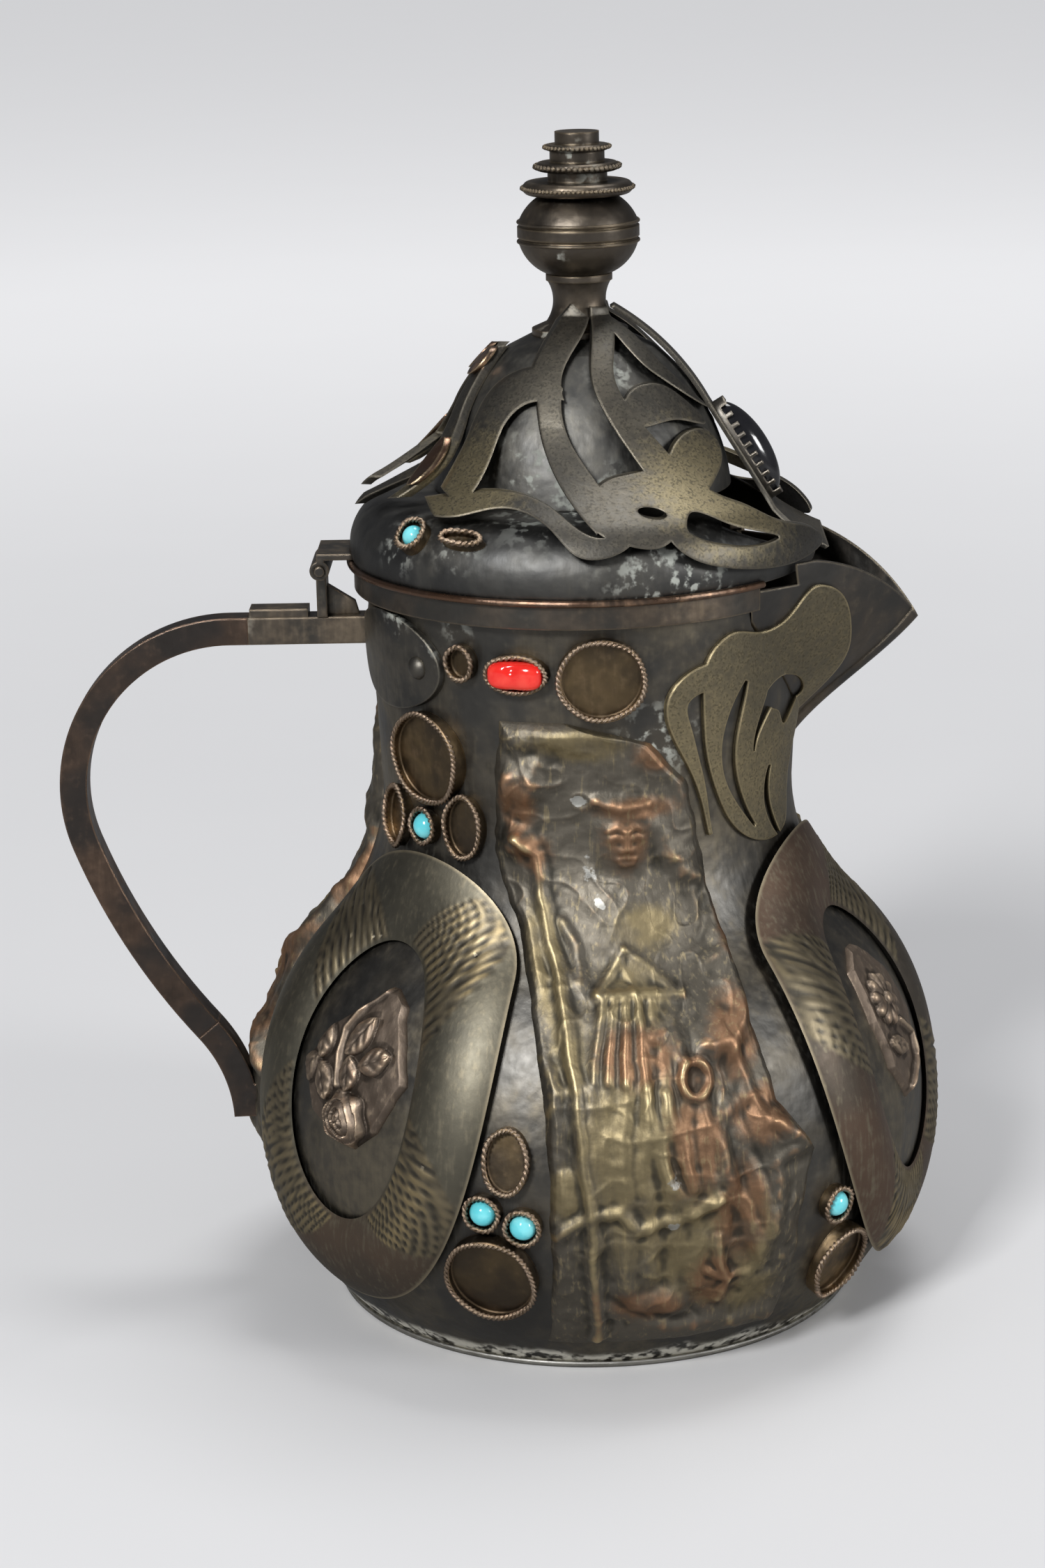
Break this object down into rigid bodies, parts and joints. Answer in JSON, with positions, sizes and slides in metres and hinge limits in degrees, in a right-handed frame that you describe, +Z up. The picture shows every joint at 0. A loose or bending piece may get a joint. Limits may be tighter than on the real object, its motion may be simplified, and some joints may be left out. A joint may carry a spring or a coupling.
{
  "type": "coffee pot",
  "caption": "Tall pear-shaped metal coffee pot with a beak spout, a bent bar handle and a hinged domed lid with a turned finial, covered with embossed panels, oval frames and stone settings.",
  "frame": {"origin": "centre of the base plate's underside, on the vessel's axis", "axes": "+Z up, +X towards the spout, -X towards the handle and the lid hinge"},
  "size_m": [0.2278, 0.1804, 0.3],
  "materials": {
    "dark_metal": "dark patina, satin",
    "worn_brass": "brushed and tarnished",
    "copper": "browned copper, satin",
    "tinned": "tinned, dull",
    "turquoise": "polished",
    "coral": "polished",
    "onyx": "polished"
  },
  "bodies": {
    "pot": {"vessel_body": "dark_metal", "spout": "dark_metal", "ear_near": "dark_metal", "ear_far": "dark_metal", "ear_rivets": "dark_metal", "handle_tang": "dark_metal", "handle_bar": "dark_metal", "handle_strap": "dark_metal", "handle_foot": "dark_metal", "hinge_post": "dark_metal", "hinge_gusset": "dark_metal", "hinge_pin": "dark_metal", "base_plate": "tinned", "spout_plate_near": "worn_brass", "spout_plate_far": "worn_brass", "oval_frame_left": "worn_brass", "oval_frame_right": "worn_brass", "oval_frame_back": "worn_brass", "relief_panel_front": "worn_brass", "relief_panel_back": "worn_brass", "relief_panel_handle": "worn_brass", "mouth_ring_cups": "copper", "coral_cups": "copper", "mouth_round_cups": "copper", "neck_round_cups": "copper", "neck_left_cups": "copper", "neck_turquoise_cups": "copper", "neck_right_cups": "copper", "belly_oval_cups": "copper", "belly_round_cups": "copper", "belly_side_cups": "copper", "belly_turquoise_cups": "copper", "rose_plaque_left": "copper", "rose_plaque_back": "copper", "daisy_plaque_right": "copper", "corals": "coral", "neck_turquoises": "turquoise", "belly_turquoises": "turquoise"},
    "lid": {"lid_skirt": "dark_metal", "lid_dish": "dark_metal", "lid_dome": "dark_metal", "hinge_strap": "dark_metal", "finial_stem": "dark_metal", "finial_ball": "dark_metal", "finial_large_disc": "dark_metal", "finial_beaded_disc": "dark_metal", "finial_cap": "dark_metal", "openwork_near": "worn_brass", "openwork_far": "worn_brass", "openwork_rear_near": "worn_brass", "openwork_rear_far": "worn_brass", "openwork_spine": "worn_brass", "lid_wire": "copper", "copper_discs": "copper", "copper_leaves": "copper", "lid_turquoise_cups": "copper", "lid_oval_cups": "copper", "lid_turquoises": "turquoise", "onyx_claw": "dark_metal", "onyx_stone": "onyx"}
  },
  "joints": [
    {"name": "lid_hinge", "type": "hinge", "parent": "pot", "child": "lid", "pos_m": [-0.0668, 0, 0.1924], "axis": [0, -1, 0], "range_deg": [0, 100]}
  ]
}
